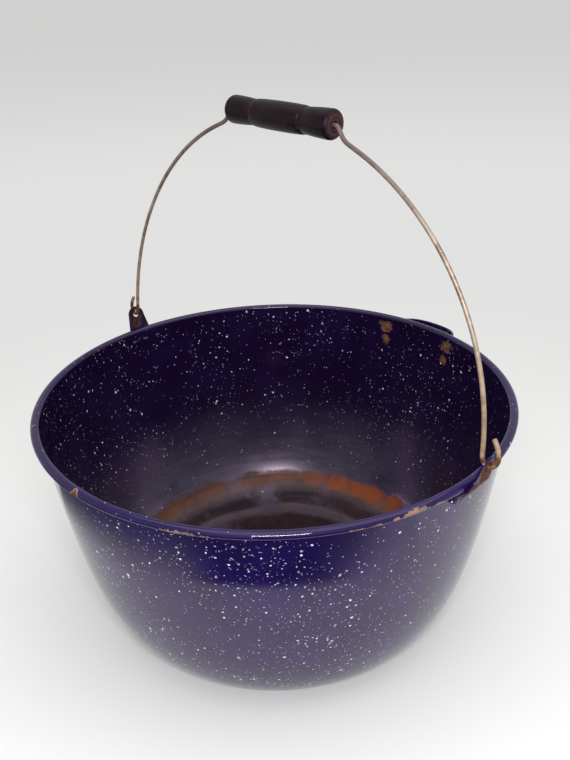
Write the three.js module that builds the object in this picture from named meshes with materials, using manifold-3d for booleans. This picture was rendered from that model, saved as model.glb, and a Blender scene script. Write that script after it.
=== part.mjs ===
// Enamelled preserving kettle with a swinging wire bail and a strap handle for tipping it.
// Millimetres, +Z up. The origin is the centre of the flat base, the bail swings about the X direction,
// and the tipping handle points along +Y.

import * as THREE from 'three';
import { mergeVertices } from 'three/addons/utils/BufferGeometryUtils.js';
import Module from 'manifold-3d';

const wasm = await Module();
wasm.setup();

// ---- Driving dimensions -------------------------------------------------------------------------------

const GAP = 0.3;                     // space between neighbouring pieces
const SIDES = 72;                    // facets round the kettle, shared by all that hugs its wall

const RIM_RADIUS = 185;              // outermost point of the rolled rim
const RIM_Z = 190;                   // height of the roll's centre above the base
const ROLL_HALF_WIDTH = 3.45;
const ROLL_HALF_HEIGHT = 2.75;
const ROLL_LIP_ANGLE = -112;         // where the curl's lip ends, in degrees
const SHEET = 1.2;                   // enamelled sheet thickness
const BASE_RADIUS = 103;             // radius of the flat part of the base
// The wall's shape, as shares of the rim's radius and height: how far out the round corner at the base
// is pulled, and where the nearly straight side starts.
const CORNER_REACH = 0.828;
const SIDE_RADIUS_SHARE = 0.893;
const SIDE_HEIGHT_SHARE = 0.33;

const STRAP = 1.8;                   // thickness of the ears and of the tipping handle

const EAR_HOLE_RADIUS = 3;
const PIVOT_X = 191;                 // where the bail passes through the ear
const PIVOT_Z = RIM_Z + 14;
const EAR_TOP_Z = PIVOT_Z + 6.6;
const EAR_TAB_HALF_WIDTH = 7.8;      // at the hole
const EAR_ROOT_HALF_WIDTH = 10.3;    // just above the foot
const EAR_FOOT_HALF_LENGTH = 17.5;
const EAR_FOOT_LOW_Z = RIM_Z - 13.3;
const EAR_FOOT_HIGH_Z = RIM_Z - 3.8;
const EAR_RIVET_Z = RIM_Z - 8.5;
const EAR_RIVET_ANGLE = 4.1;         // degrees from the ear's middle to its outer rivets

const HANDLE_LOW_Z = RIM_Z - 27;
const HANDLE_HIGH_Z = RIM_Z - 3.4;
const HANDLE_REACH = 202.6;          // centre of the strap at its farthest, from the kettle's axis
const HANDLE_FOOT_INNER = 28;        // the feet lie between these two distances from the middle
const HANDLE_FOOT_OUTER = 41;
const HANDLE_TURN = -2;              // degrees that the handle's middle is turned from +Y, towards +X
const HANDLE_RIVET_ANGLE = 11.2;     // degrees from the handle's middle
const HANDLE_RIVET_ZS = [RIM_Z - 8, RIM_Z - 21];

const SHANK_RADIUS = 1.8;
const RIVET_HEAD_RADIUS = 2.6;
const RIVET_HEAD_HEIGHT = 1.3;
const RIVET_TAIL_HEIGHT = 0.6;
const RIVET_SIDES = 14;
const RIVET_HOLE_REACH = 8;          // a rivet's hole is cut this far either way, through wall and plate

const WIRE_RADIUS = 1.65;
const WIRE_SIDES = 9;
const WIRE_STEPS = 235;              // sections along the whole wire
const ARCH_HALF_WIDTH = 186.8;       // the arch is half an ellipse about the pivots
const ARCH_HEIGHT = 190;
const BAIL_LEAN = 4;                 // degrees that the bail leans towards the tipping handle at rest
// The hand-bent arch is slightly out of true: its top is off to one side, and the grip's axis slopes.
const ARCH_SHIFT = 2.7;
const ARCH_SLOPE = 2;                // degrees
const LEFT_HOOK_SCALE = 0.8;         // the left hook is bent shorter than the right one

const GRIP_HALF_LENGTH = 50;
const GRIP_HEIGHT = 190;             // grip axis above the pivots
const GRIP_BORE_RADIUS = 2.4;
const GRIP_STEP_X = 23.5;            // where the barrel steps down to the end sections
const GRIP_BARREL_RADIUS = 9.9;
const GRIP_BARREL_END_RADIUS = 9.1;
const GRIP_NECK_RADIUS = 8.6;
const GRIP_FLARE_RADIUS = 9.8;
const GRIP_EDGE_ROUND = 2.6;
const GRIP_STEP_LENGTH = 0.6;        // length of the slope from the barrel down to the neck
const GRIP_SIDES = 30;

// ---- Materials ----------------------------------------------------------------------------------------

const enamel = new THREE.MeshStandardMaterial({ color: 0x1b1644, roughness: 0.2, metalness: 0 });
const wireSteel = new THREE.MeshStandardMaterial({ color: 0x6b5648, roughness: 0.6, metalness: 0.7 });
const stainedWood = new THREE.MeshStandardMaterial({ color: 0x20130f, roughness: 0.45, metalness: 0 });

// ---- Solid helpers ------------------------------------------------------------------------------------

const radians = THREE.MathUtils.degToRad;
const point = (x, y) => new THREE.Vector2(x, y);

// Turns a three.js geometry into a manifold solid.
function solid(geometry) {
  const bare = geometry.clone();
  bare.deleteAttribute('normal');
  bare.deleteAttribute('uv');
  const merged = mergeVertices(bare, 1e-5);
  return new wasm.Manifold(new wasm.Mesh({
    numProp: 3,
    vertProperties: new Float32Array(merged.attributes.position.array),
    triVerts: new Uint32Array(merged.index.array),
  }));
}

// Turns a manifold solid back into a three.js geometry.
function geometryOf(manifold) {
  const mesh = manifold.getMesh();
  const geometry = new THREE.BufferGeometry();
  geometry.setAttribute('position', new THREE.Float32BufferAttribute(mesh.vertProperties, mesh.numProp));
  geometry.setIndex(Array.from(mesh.triVerts));
  geometry.computeVertexNormals();
  return geometry;
}

// Revolves a profile of (radius, height) points about the Z axis.
function revolved(profile, sides = SIDES) {
  return new THREE.LatheGeometry(profile, sides).rotateX(Math.PI / 2);
}

// Points of an ellipse arc, from one angle to another in degrees, both ends included.
function ellipseArc(centre, halfWidth, halfHeight, from, to, steps) {
  const points = [];
  for (let i = 0; i <= steps; i += 1) {
    const angle = radians(from + (to - from) * i / steps);
    points.push(point(centre.x + halfWidth * Math.cos(angle), centre.y + halfHeight * Math.sin(angle)));
  }
  return points;
}

// A closed strip of one thickness along an open path of points.
function thickened(path, thickness) {
  const left = [];
  const right = [];
  path.forEach((here, i) => {
    const before = path[Math.max(i - 1, 0)];
    const after = path[Math.min(i + 1, path.length - 1)];
    const along = after.clone().sub(before).normalize();
    const across = point(-along.y, along.x).multiplyScalar(thickness / 2);
    left.push(here.clone().add(across));
    right.push(here.clone().sub(across));
  });
  return [...right, ...left.reverse()];
}

// A solid ring about the Z axis whose section is a strip along a path of (radius, height) points.
function stripRing(path, thickness) {
  const section = thickened(path, thickness);
  return solid(revolved([...section, section[0]]));
}

// A prism along X whose outline is drawn in Y (first) and Z (second).
function prismAlongX(outline, fromX, toX, holes = []) {
  const shape = new THREE.Shape(outline);
  holes.forEach((hole) => shape.holes.push(new THREE.Path(hole)));
  const geometry = new THREE.ExtrudeGeometry(shape, { depth: toX - fromX, bevelEnabled: false });
  // The shape's x, y and depth become Y, Z and X.
  const turn = new THREE.Matrix4().makeBasis(
    new THREE.Vector3(0, 1, 0), new THREE.Vector3(0, 0, 1), new THREE.Vector3(1, 0, 0));
  return solid(geometry.applyMatrix4(turn).translate(fromX, 0, 0));
}

// A prism along Z whose outline is drawn in X and Y.
function prismAlongZ(outline, fromZ, toZ) {
  const options = { depth: toZ - fromZ, bevelEnabled: false };
  return solid(new THREE.ExtrudeGeometry(new THREE.Shape(outline), options).translate(0, 0, fromZ));
}

// ---- Kettle wall --------------------------------------------------------------------------------------

const rollCentre = point(RIM_RADIUS - ROLL_HALF_WIDTH, RIM_Z);
const WALL_TOP_RADIUS = RIM_RADIUS - 2 * ROLL_HALF_WIDTH + SHEET;

// The wall's outer face, from the flat base to the rim: a nearly straight side on a wide round corner.
const wallCurve = new THREE.CubicBezierCurve(
  point(BASE_RADIUS, 0),
  point(CORNER_REACH * RIM_RADIUS, 0),
  point(SIDE_RADIUS_SHARE * RIM_RADIUS, SIDE_HEIGHT_SHARE * RIM_Z),
  point(WALL_TOP_RADIUS, RIM_Z),
);

// The curve's parameter at a height, by halving: the wall rises all the way along it.
function wallParameterAt(z) {
  let low = 0;
  let high = 1;
  for (let i = 0; i < 40; i += 1) {
    const middle = (low + high) / 2;
    if (wallCurve.getPoint(middle).y < z) low = middle;
    else high = middle;
  }
  return (low + high) / 2;
}

const wallRadiusAt = (z) => wallCurve.getPoint(wallParameterAt(z)).x;

function wallNormalAt(z) {
  const tangent = wallCurve.getTangent(wallParameterAt(z));
  return point(tangent.y, -tangent.x);
}

// The wall between two heights, moved outwards by a distance.
function wallPath(fromZ, toZ, outwards, steps) {
  const points = [];
  for (let i = 0; i <= steps; i += 1) {
    const z = fromZ + (toZ - fromZ) * i / steps;
    points.push(point(wallRadiusAt(z) + outwards, z));
  }
  return points;
}

function kettleShell(rivetSeats) {
  const steps = 14;
  const outer = wallCurve.getPoints(steps);
  const inner = outer.map((p, i) => {
    const tangent = wallCurve.getTangent(i / steps);
    return point(p.x - SHEET * tangent.y, p.y + SHEET * tangent.x);
  });
  // The rim curls outwards and down, and its lip stops short of the wall.
  const rollInside = ellipseArc(
    rollCentre, ROLL_HALF_WIDTH - SHEET, ROLL_HALF_HEIGHT - SHEET, 180, ROLL_LIP_ANGLE, 7);
  const rollOutside = ellipseArc(
    rollCentre, ROLL_HALF_WIDTH, ROLL_HALF_HEIGHT, ROLL_LIP_ANGLE, 180, 12);
  const profile = [
    point(0, 0),
    ...outer.slice(0, -1),
    ...rollInside,
    ...rollOutside,
    ...inner.slice(0, -1).reverse(),
    point(0, SHEET),
  ];
  return rivetSeats.reduce((shell, seat) => shell.subtract(rivetHole(seat)), solid(revolved(profile)));
}

// ---- Rivets -------------------------------------------------------------------------------------------

// A rivet seat is a place on the wall's outer face, with the wall's outward direction there.
function rivetSeat(angle, z) {
  const normal = wallNormalAt(z);
  const radius = wallRadiusAt(z);
  const around = radians(angle);
  return {
    place: new THREE.Vector3(radius * Math.cos(around), radius * Math.sin(around), z),
    outwards: new THREE.Vector3(normal.x * Math.cos(around), normal.x * Math.sin(around), normal.y),
  };
}

// Puts a geometry that was made along Z at a rivet's seat.
function seated(geometry, seat) {
  const turn = new THREE.Quaternion().setFromUnitVectors(new THREE.Vector3(0, 0, 1), seat.outwards);
  return geometry.applyQuaternion(turn).translate(seat.place.x, seat.place.y, seat.place.z);
}

function rivetHole(seat) {
  return solid(seated(revolved([
    point(0, -RIVET_HOLE_REACH),
    point(SHANK_RADIUS + GAP, -RIVET_HOLE_REACH),
    point(SHANK_RADIUS + GAP, RIVET_HOLE_REACH),
    point(0, RIVET_HOLE_REACH),
  ], RIVET_SIDES), seat));
}

// A round head outside, a shank through plate and wall, and a low hammered tail inside.
function rivet(seat) {
  const curvature = 0.1;             // a flat head on a curved plate stands off a little more
  const headSeat = GAP + STRAP + GAP + curvature;
  const tailSeat = -SHEET - GAP;
  const dome = (seatAt, height, from, to) => ellipseArc(
    point(0, seatAt), RIVET_HEAD_RADIUS, height, from, to, 3);
  return seated(revolved([
    ...dome(tailSeat, RIVET_TAIL_HEIGHT, -90, 0),
    point(SHANK_RADIUS, tailSeat),
    point(SHANK_RADIUS, headSeat),
    ...dome(headSeat, RIVET_HEAD_HEIGHT, 0, 90),
  ], RIVET_SIDES), seat);
}

// ---- Ears ---------------------------------------------------------------------------------------------

const EAR_REST = GAP + STRAP / 2;    // from the wall's face to the middle of a plate on it

// The tab's section: up the wall, out under the roll, round it and up to the hole, leaning outwards.
function tabPath() {
  const footTop = RIM_Z - 5.7;
  const turns = new THREE.SplineCurve([
    point(wallRadiusAt(EAR_FOOT_LOW_Z - 1) + EAR_REST, EAR_FOOT_LOW_Z - 1),
    point(wallRadiusAt(footTop) + EAR_REST, footTop),
    point(181.5, RIM_Z - 4.4),
    point(184.6, RIM_Z - 3.5),
    point(186.9, RIM_Z - 1.2),
    point(188.1, RIM_Z + 3.5),
    point(PIVOT_X, PIVOT_Z),
    point(PIVOT_X + 1.8, EAR_TOP_Z + 2),
  ]);
  return turns.getPoints(28);
}

function tabOutline() {
  const roundRadius = EAR_TAB_HALF_WIDTH;
  const roundZ = EAR_TOP_Z - roundRadius;
  return [
    point(-EAR_ROOT_HALF_WIDTH, EAR_FOOT_LOW_Z),
    point(EAR_ROOT_HALF_WIDTH, EAR_FOOT_LOW_Z),
    point(EAR_ROOT_HALF_WIDTH, RIM_Z),
    ...ellipseArc(point(0, roundZ), roundRadius, roundRadius, 0, 180, 14),
    point(-EAR_ROOT_HALF_WIDTH, RIM_Z),
  ];
}

// One side of the foot, with a round end.
function wingOutline() {
  const roundRadius = (EAR_FOOT_HIGH_Z - EAR_FOOT_LOW_Z) / 2;
  const centre = point(EAR_FOOT_HALF_LENGTH - roundRadius, EAR_FOOT_LOW_Z + roundRadius);
  const inner = EAR_ROOT_HALF_WIDTH - 2;
  return [
    point(inner, EAR_FOOT_LOW_Z),
    ...ellipseArc(centre, roundRadius, roundRadius, -90, 90, 10),
    point(inner, EAR_FOOT_HIGH_Z),
  ];
}

const mirrored = (outline) => outline.map((p) => point(-p.x, p.y)).reverse();

// The ear on the +X side.
function ear(rivetSeats) {
  const hole = ellipseArc(point(0, PIVOT_Z), EAR_HOLE_RADIUS, EAR_HOLE_RADIUS, 0, 342, 19);
  const nearX = PIVOT_X - 40;
  const farX = PIVOT_X + 25;
  const tab = stripRing(tabPath(), STRAP)
    .intersect(prismAlongX(tabOutline(), nearX, farX, [hole]));
  const footRing = stripRing(wallPath(EAR_FOOT_LOW_Z - 1, EAR_FOOT_HIGH_Z + 1, EAR_REST, 6), STRAP);
  const wings = [wingOutline(), mirrored(wingOutline())]
    .map((outline) => footRing.intersect(prismAlongX(outline, nearX, farX)));
  const plate = tab.add(wings[0]).add(wings[1]);
  return rivetSeats.reduce((whole, seat) => whole.subtract(rivetHole(seat)), plate);
}

// ---- Tipping handle -----------------------------------------------------------------------------------

// The strap's loop seen from above: out from one foot, round the corners and back to the other foot.
function loopPath() {
  const wall = wallRadiusAt(HANDLE_HIGH_Z);
  const half = [
    point(29.4, wall - 8),
    point(29.4, wall),
    point(29.8, wall + 7),
    point(27.6, wall + 14.5),
    point(20.5, HANDLE_REACH - 3.3),
    point(10.5, HANDLE_REACH - 0.6),
  ];
  const whole = [...half, point(0, HANDLE_REACH), ...mirrored(half)];
  return new THREE.SplineCurve(whole).getPoints(40);
}

function tippingHandle(rivetSeats) {
  const loop = prismAlongZ(thickened(loopPath(), STRAP), HANDLE_LOW_Z, HANDLE_HIGH_Z);
  const lowZ = HANDLE_LOW_Z - 5;
  const highZ = HANDLE_HIGH_Z + 3;
  // Everything up to the wall's outer face, and the space that the strap keeps from it.
  const wallSpace = solid(revolved([
    point(0, lowZ), ...wallPath(lowZ, highZ, GAP, 6), point(0, highZ),
  ]));
  const footRing = stripRing(wallPath(lowZ, highZ, EAR_REST, 6), STRAP);
  const corner = 4;
  const footOutline = [
    point(HANDLE_LOW_Z, HANDLE_FOOT_INNER - 2),
    point(HANDLE_HIGH_Z, HANDLE_FOOT_INNER - 2),
    ...ellipseArc(point(HANDLE_HIGH_Z - corner, HANDLE_FOOT_OUTER - corner), corner, corner, 0, 90, 5),
    ...ellipseArc(point(HANDLE_LOW_Z + corner, HANDLE_FOOT_OUTER - corner), corner, corner, 90, 180, 5),
  ];
  // The outline is drawn in Z and X, and the prism runs along Y.
  const turn = new THREE.Matrix4().makeBasis(
    new THREE.Vector3(0, 0, 1), new THREE.Vector3(1, 0, 0), new THREE.Vector3(0, 1, 0));
  const nearY = HANDLE_REACH - 60;
  const options = { depth: HANDLE_REACH - nearY, bevelEnabled: false };
  const prism = new THREE.ExtrudeGeometry(new THREE.Shape(footOutline), options)
    .applyMatrix4(turn).translate(0, nearY, 0);
  const rightFoot = solid(prism);
  const leftFoot = rightFoot.mirror([1, 0, 0]);
  const turned = (part) => part.rotate([0, 0, HANDLE_TURN]);
  const feet = [rightFoot, leftFoot].map((part) => footRing.intersect(turned(part)));
  const strap = turned(loop).subtract(wallSpace).add(feet[0]).add(feet[1]);
  return rivetSeats.reduce((whole, seat) => whole.subtract(rivetHole(seat)), strap);
}

// ---- Bail ---------------------------------------------------------------------------------------------

// Half of the wire's middle line, drawn in X and in height above the pivots, from hook tip to grip.
function halfWire(hookScale) {
  const hook = [
    point(2.4, 19.5),
    point(5.6, 14),
    point(7, 8.5),
    point(6, 3.8),
    point(3.2, 0.8),
  ].map((p) => point(PIVOT_X + hookScale * p.x, hookScale * p.y));
  const throughEar = [
    point(PIVOT_X, 0),
    point(188.6, 1.3),
    point(187.1, 4.5),
  ];
  const arch = ellipseArc(point(0, 0), ARCH_HALF_WIDTH, ARCH_HEIGHT, 3.5, 69, 22);
  const kink = [
    point(60.6, 180),
    point(57.4, 182.2),
    point(55, 185.2),
    point(52.9, 188),
    point(50.6, 189.6),
    point(47.5, GRIP_HEIGHT),
    point(38, GRIP_HEIGHT),
    point(15, GRIP_HEIGHT),
  ];
  return [...hook, ...throughEar, ...arch, ...kink];
}

// Moves a point of the true arch to where the bent arch has it, most of all at the top.
function outOfTrue(p) {
  const share = Math.max(p.y / GRIP_HEIGHT, 0) ** 2;
  return point(p.x + ARCH_SHIFT * share, p.y - Math.tan(radians(ARCH_SLOPE)) * p.x * share);
}

function bailWire() {
  const whole = [...halfWire(1), ...mirrored(halfWire(LEFT_HOOK_SCALE))].map(outOfTrue);
  const path = new THREE.CatmullRomCurve3(whole.map((p) => new THREE.Vector3(p.x, 0, p.y)), false);
  const lastAngle = 360 - 360 / WIRE_SIDES;
  const section = ellipseArc(point(0, 0), WIRE_RADIUS, WIRE_RADIUS, 0, lastAngle, WIRE_SIDES - 1);
  return new THREE.ExtrudeGeometry(new THREE.Shape(section), {
    steps: WIRE_STEPS,
    extrudePath: path,
    bevelEnabled: false,
  });
}

// The grip's turned outline on one side, from the middle of the barrel to the end face.
function halfGrip() {
  const barrel = ellipseArc(
    point(0, GRIP_BARREL_END_RADIUS), GRIP_STEP_X, GRIP_BARREL_RADIUS - GRIP_BARREL_END_RADIUS, 90, 0, 8);
  const flareStart = GRIP_STEP_X + GRIP_STEP_LENGTH;
  const flareEnd = GRIP_HALF_LENGTH - GRIP_EDGE_ROUND;
  const flare = [0, 0.25, 0.5, 0.75].map((t) => point(
    flareStart + (flareEnd - flareStart) * t,
    THREE.MathUtils.lerp(GRIP_NECK_RADIUS, GRIP_FLARE_RADIUS, Math.sin(t * Math.PI / 2))));
  const edge = ellipseArc(
    point(flareEnd, GRIP_FLARE_RADIUS - GRIP_EDGE_ROUND), GRIP_EDGE_ROUND, GRIP_EDGE_ROUND, 90, 0, 6);
  return [...barrel, ...flare, ...edge];
}

function grip() {
  const half = halfGrip();
  // Radius first and distance along the grip second, from one end's bore to the other's and back.
  const outline = [...mirrored(half).slice(0, -1), ...half].map((p) => point(p.y, p.x));
  const profile = [
    point(GRIP_BORE_RADIUS, -GRIP_HALF_LENGTH),
    ...outline,
    point(GRIP_BORE_RADIUS, GRIP_HALF_LENGTH),
    point(GRIP_BORE_RADIUS, -GRIP_HALF_LENGTH),
  ];
  // The lathe turns about Y, and this lays that axis along X.
  return new THREE.LatheGeometry(profile, GRIP_SIDES).rotateZ(-Math.PI / 2);
}

// ---- Assembly -----------------------------------------------------------------------------------------

function piece(name, geometry, material) {
  const mesh = new THREE.Mesh(geometry, material);
  mesh.name = name;
  return mesh;
}

const kettle = new THREE.Group();

const earSeats = [-EAR_RIVET_ANGLE, 0, EAR_RIVET_ANGLE].map((angle) => rivetSeat(angle, EAR_RIVET_Z));
const handleSeats = [-HANDLE_RIVET_ANGLE, HANDLE_RIVET_ANGLE]
  .flatMap((angle) => HANDLE_RIVET_ZS.map((z) => rivetSeat(90 + HANDLE_TURN + angle, z)));
const oppositeSeats = [-EAR_RIVET_ANGLE, 0, EAR_RIVET_ANGLE]
  .map((angle) => rivetSeat(180 + angle, EAR_RIVET_Z));

kettle.add(piece(
  'kettle_shell', geometryOf(kettleShell([...earSeats, ...oppositeSeats, ...handleSeats])), enamel));

const rightEar = ear(earSeats);
kettle.add(piece('ear_right', geometryOf(rightEar), enamel));
kettle.add(piece('ear_left', geometryOf(rightEar.rotate([0, 0, 180])), enamel));
earSeats.forEach((seat, i) => kettle.add(piece(`ear_right_rivet_${i + 1}`, rivet(seat), enamel)));
oppositeSeats.forEach((seat, i) => kettle.add(piece(`ear_left_rivet_${i + 1}`, rivet(seat), enamel)));

kettle.add(piece('tipping_handle', geometryOf(tippingHandle(handleSeats)), enamel));
handleSeats.forEach((seat, i) => kettle.add(piece(`tipping_handle_rivet_${i + 1}`, rivet(seat), enamel)));

const bail = new THREE.Group();
bail.position.set(0, 0, PIVOT_Z);
bail.rotation.x = -radians(BAIL_LEAN);
bail.add(piece('bail_wire', bailWire(), wireSteel));
const gripPiece = piece('grip', grip(), stainedWood);
gripPiece.position.set(ARCH_SHIFT, 0, GRIP_HEIGHT);
gripPiece.rotation.y = radians(ARCH_SLOPE);
bail.add(gripPiece);
kettle.add(bail);

export default kettle;
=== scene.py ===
import math

import bpy
import bmesh
import numpy as np
from mathutils import Matrix, Quaternion, Vector
from mathutils.geometry import delaunay_2d_cdt


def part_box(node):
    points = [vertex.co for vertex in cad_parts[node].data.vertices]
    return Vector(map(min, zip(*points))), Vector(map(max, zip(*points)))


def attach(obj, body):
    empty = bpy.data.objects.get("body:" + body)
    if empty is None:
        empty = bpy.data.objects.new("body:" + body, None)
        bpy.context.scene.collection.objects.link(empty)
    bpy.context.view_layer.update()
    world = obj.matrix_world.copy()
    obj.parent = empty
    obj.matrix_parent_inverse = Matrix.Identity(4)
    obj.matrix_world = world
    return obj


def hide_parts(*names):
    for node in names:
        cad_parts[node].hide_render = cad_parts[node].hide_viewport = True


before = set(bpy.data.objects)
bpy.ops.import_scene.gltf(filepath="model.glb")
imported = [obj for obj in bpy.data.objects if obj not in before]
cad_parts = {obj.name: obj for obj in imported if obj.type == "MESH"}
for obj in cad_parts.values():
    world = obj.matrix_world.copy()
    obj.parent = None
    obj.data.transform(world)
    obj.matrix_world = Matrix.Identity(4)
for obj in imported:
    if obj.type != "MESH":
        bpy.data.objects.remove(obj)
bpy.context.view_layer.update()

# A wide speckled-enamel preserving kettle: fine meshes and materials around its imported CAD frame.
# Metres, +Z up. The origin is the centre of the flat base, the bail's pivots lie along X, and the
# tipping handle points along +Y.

MM = 0.001

# ---- Sizes ----

SHELL_LOW, SHELL_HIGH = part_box("kettle_shell")
SHEET = 1.2 * MM
ROLL_HALF_WIDTH = 3.45 * MM
ROLL_HALF_HEIGHT = 2.75 * MM
ROLL_LIP_ANGLE = -112
RIM_RADIUS = SHELL_HIGH.x
RIM_Z = SHELL_HIGH.z - ROLL_HALF_HEIGHT
BASE_RADIUS = 103 * MM
CORNER_REACH = 0.828
SIDE_RADIUS_SHARE = 0.893
SIDE_HEIGHT_SHARE = 0.33

PLATE_GAP = 0.3 * MM
STRAP = 1.8 * MM
STRAP_EDGE_ROUND = 0.45 * MM
SHEET_CLEARANCE = 0.04 * MM
PLATE_REST = PLATE_GAP + STRAP / 2

PIVOT_X = 191 * MM
PIVOT_Z = RIM_Z + 14 * MM
EAR_HOLE_RADIUS = 3 * MM
EAR_TOP_Z = PIVOT_Z + 6.6 * MM
EAR_TAB_HALF_WIDTH = 7.8 * MM
EAR_ROOT_HALF_WIDTH = 10.3 * MM
EAR_FOOT_HALF_LENGTH = 17.5 * MM
EAR_FOOT_LOW_Z = RIM_Z - 13.3 * MM
EAR_FOOT_HIGH_Z = RIM_Z - 3.8 * MM
EAR_RIVET_Z = RIM_Z - 8.5 * MM
EAR_RIVET_ANGLE = 4.1

HANDLE_LOW, HANDLE_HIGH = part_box("tipping_handle")
HANDLE_REACH = 202.6 * MM
HANDLE_FOOT_OUTER = 41 * MM
HANDLE_LEG_X = 29.4 * MM
HANDLE_TURN = -2
HANDLE_CORNER = 4 * MM
HANDLE_RIVET_ANGLE = 11.2
HANDLE_RIVET_ZS = [RIM_Z - 8 * MM, RIM_Z - 21 * MM]

SHANK_RADIUS = 1.8 * MM
RIVET_HEAD_RADIUS = 2.6 * MM
RIVET_HEAD_HEIGHT = 1.3 * MM
RIVET_TAIL_HEIGHT = 0.6 * MM
RIVET_SIDES = 24

WIRE_RADIUS = 1.52 * MM
WIRE_SIDES = 18
ARCH_HALF_WIDTH = 186.8 * MM
ARCH_HEIGHT = 190 * MM
BAIL_LEAN = 4
ARCH_SHIFT = 2.7 * MM
ARCH_SLOPE = 2
LEFT_HOOK_SCALE = 0.8

GRIP_HALF_LENGTH = 49.95 * MM
GRIP_HEIGHT = 190 * MM
GRIP_BORE_RADIUS = 2.4 * MM
GRIP_STEP_X = 23.5 * MM
GRIP_STEP_LENGTH = 0.6 * MM
GRIP_BARREL_RADIUS = 9.85 * MM
GRIP_BARREL_END_RADIUS = 9.1 * MM
GRIP_NECK_RADIUS = 8.6 * MM
GRIP_FLARE_RADIUS = 9.8 * MM
GRIP_EDGE_ROUND = 3.4 * MM
GRIP_SIDES = 96

KETTLE_SIDES = 288

# ---- Outlines ----


def ellipse_arc(centre, half_width, half_height, start, end, steps):
    """Points of an ellipse arc between two angles in degrees, both ends included."""
    points = []
    for i in range(steps + 1):
        angle = math.radians(start + (end - start) * i / steps)
        points.append(Vector((centre[0] + half_width * math.cos(angle),
                              centre[1] + half_height * math.sin(angle))))
    return points


def mirrored(outline):
    """The outline's mirror image in its second axis, run the other way."""
    return [Vector((-p[0], p[1])) for p in reversed(outline)]


def smooth_path(points, steps_each, power=0.25):
    """A centripetal Catmull-Rom curve through the points, with some steps between each pair."""
    first = 2 * points[0] - points[1]
    last = 2 * points[-1] - points[-2]
    whole = [first, *points, last]
    path = []
    for a, b, c, d in zip(whole, whole[1:], whole[2:], whole[3:]):
        gaps = [max((q - p).length_squared ** power, 1e-9) for p, q in ((a, b), (b, c), (c, d))]
        into = ((b - a) / gaps[0] - (c - a) / (gaps[0] + gaps[1]) + (c - b) / gaps[1]) * gaps[1]
        out = ((c - b) / gaps[1] - (d - b) / (gaps[1] + gaps[2]) + (d - c) / gaps[2]) * gaps[1]
        for i in range(steps_each):
            t = i / steps_each
            path.append((2 * t**3 - 3 * t**2 + 1) * b + (t**3 - 2 * t**2 + t) * into
                        + (3 * t**2 - 2 * t**3) * c + (t**3 - t**2) * out)
    return [*path, points[-1].copy()]


def evenly_spaced(path, count):
    """Points at equal distances along a path."""
    lengths = np.cumsum([0] + [(b - a).length for a, b in zip(path, path[1:])])
    wanted = np.linspace(0, lengths[-1], count)
    columns = [np.interp(wanted, lengths, [p[k] for p in path]) for k in range(len(path[0]))]
    return [Vector(row) for row in zip(*columns)]


# ---- Kettle wall ----

ROLL_CENTRE = Vector((RIM_RADIUS - ROLL_HALF_WIDTH, RIM_Z))
WALL_CORNERS = [
    Vector((BASE_RADIUS, 0)),
    Vector((CORNER_REACH * RIM_RADIUS, 0)),
    Vector((SIDE_RADIUS_SHARE * RIM_RADIUS, SIDE_HEIGHT_SHARE * RIM_Z)),
    Vector((RIM_RADIUS - 2 * ROLL_HALF_WIDTH + SHEET, RIM_Z)),
]


def wall_point(t):
    """A point of the wall's outside, in (radius, height), for t from the base's edge to the rim."""
    a, b, c, d = WALL_CORNERS
    return (1 - t)**3 * a + 3 * (1 - t)**2 * t * b + 3 * (1 - t) * t**2 * c + t**3 * d


def wall_normal(t):
    """The wall's outward direction, in (radius, height)."""
    a, b, c, d = WALL_CORNERS
    along = (1 - t)**2 * (b - a) + 2 * (1 - t) * t * (c - b) + t**2 * (d - c)
    return Vector((along.y, -along.x)).normalized()


WALL_TS = [i / 399 for i in range(400)]
WALL_HEIGHTS = [wall_point(t).y for t in WALL_TS]


def wall_t_at(z):
    return float(np.interp(z, WALL_HEIGHTS, WALL_TS))


def wall_radius_at(z):
    return wall_point(wall_t_at(z)).x


# ---- Mesh helpers ----


def add_object(name, data):
    """A new object in the scene."""
    new_object = bpy.data.objects.new(name, data)
    bpy.context.scene.collection.objects.link(new_object)
    return new_object


def make_piece(name, vertices, faces, material, body="kettle", nodes=(), smooth_angle=40):
    """A mesh object that rides on a CAD body, stands for some CAD nodes and has its faces pointing out."""
    mesh = bpy.data.meshes.new(name)
    mesh.from_pydata([tuple(v) for v in vertices], [], faces)
    work = bmesh.new()
    work.from_mesh(mesh)
    bmesh.ops.recalc_face_normals(work, faces=work.faces)
    work.to_mesh(mesh)
    work.free()
    mesh.shade_smooth()
    mesh.set_sharp_from_angle(angle=math.radians(smooth_angle))
    mesh.materials.append(material)
    piece = add_object(name, mesh)
    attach(piece, body)
    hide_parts(*nodes)
    return piece


def revolve(profile, sides, close_profile):
    """A revolved profile of (radius, height) points about Z. Points on the axis become one vertex."""
    vertices, rings, faces = [], [], []
    for p in profile:
        if abs(p[0]) < 1e-9:
            rings.append([len(vertices)] * sides)
            vertices.append((0, 0, p[1]))
            continue
        rings.append(list(range(len(vertices), len(vertices) + sides)))
        for i in range(sides):
            angle = math.tau * i / sides
            vertices.append((p[0] * math.cos(angle), p[0] * math.sin(angle), p[1]))
    pairs = list(zip(rings, rings[1:]))
    if close_profile:
        pairs.append((rings[-1], rings[0]))
    for low, high in pairs:
        for i in range(sides):
            j = (i + 1) % sides
            face = list(dict.fromkeys([low[i], low[j], high[j], high[i]]))
            if len(face) > 2:
                faces.append(face)
    return vertices, faces


def grid_sheet(rows):
    """Vertices and faces of a rectangular grid of points."""
    vertices = [p for row in rows for p in row]
    width = len(rows[0])
    faces = []
    for r in range(len(rows) - 1):
        for c in range(width - 1):
            a = r * width + c
            faces.append([a, a + 1, a + width + 1, a + width])
    return vertices, faces


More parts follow.
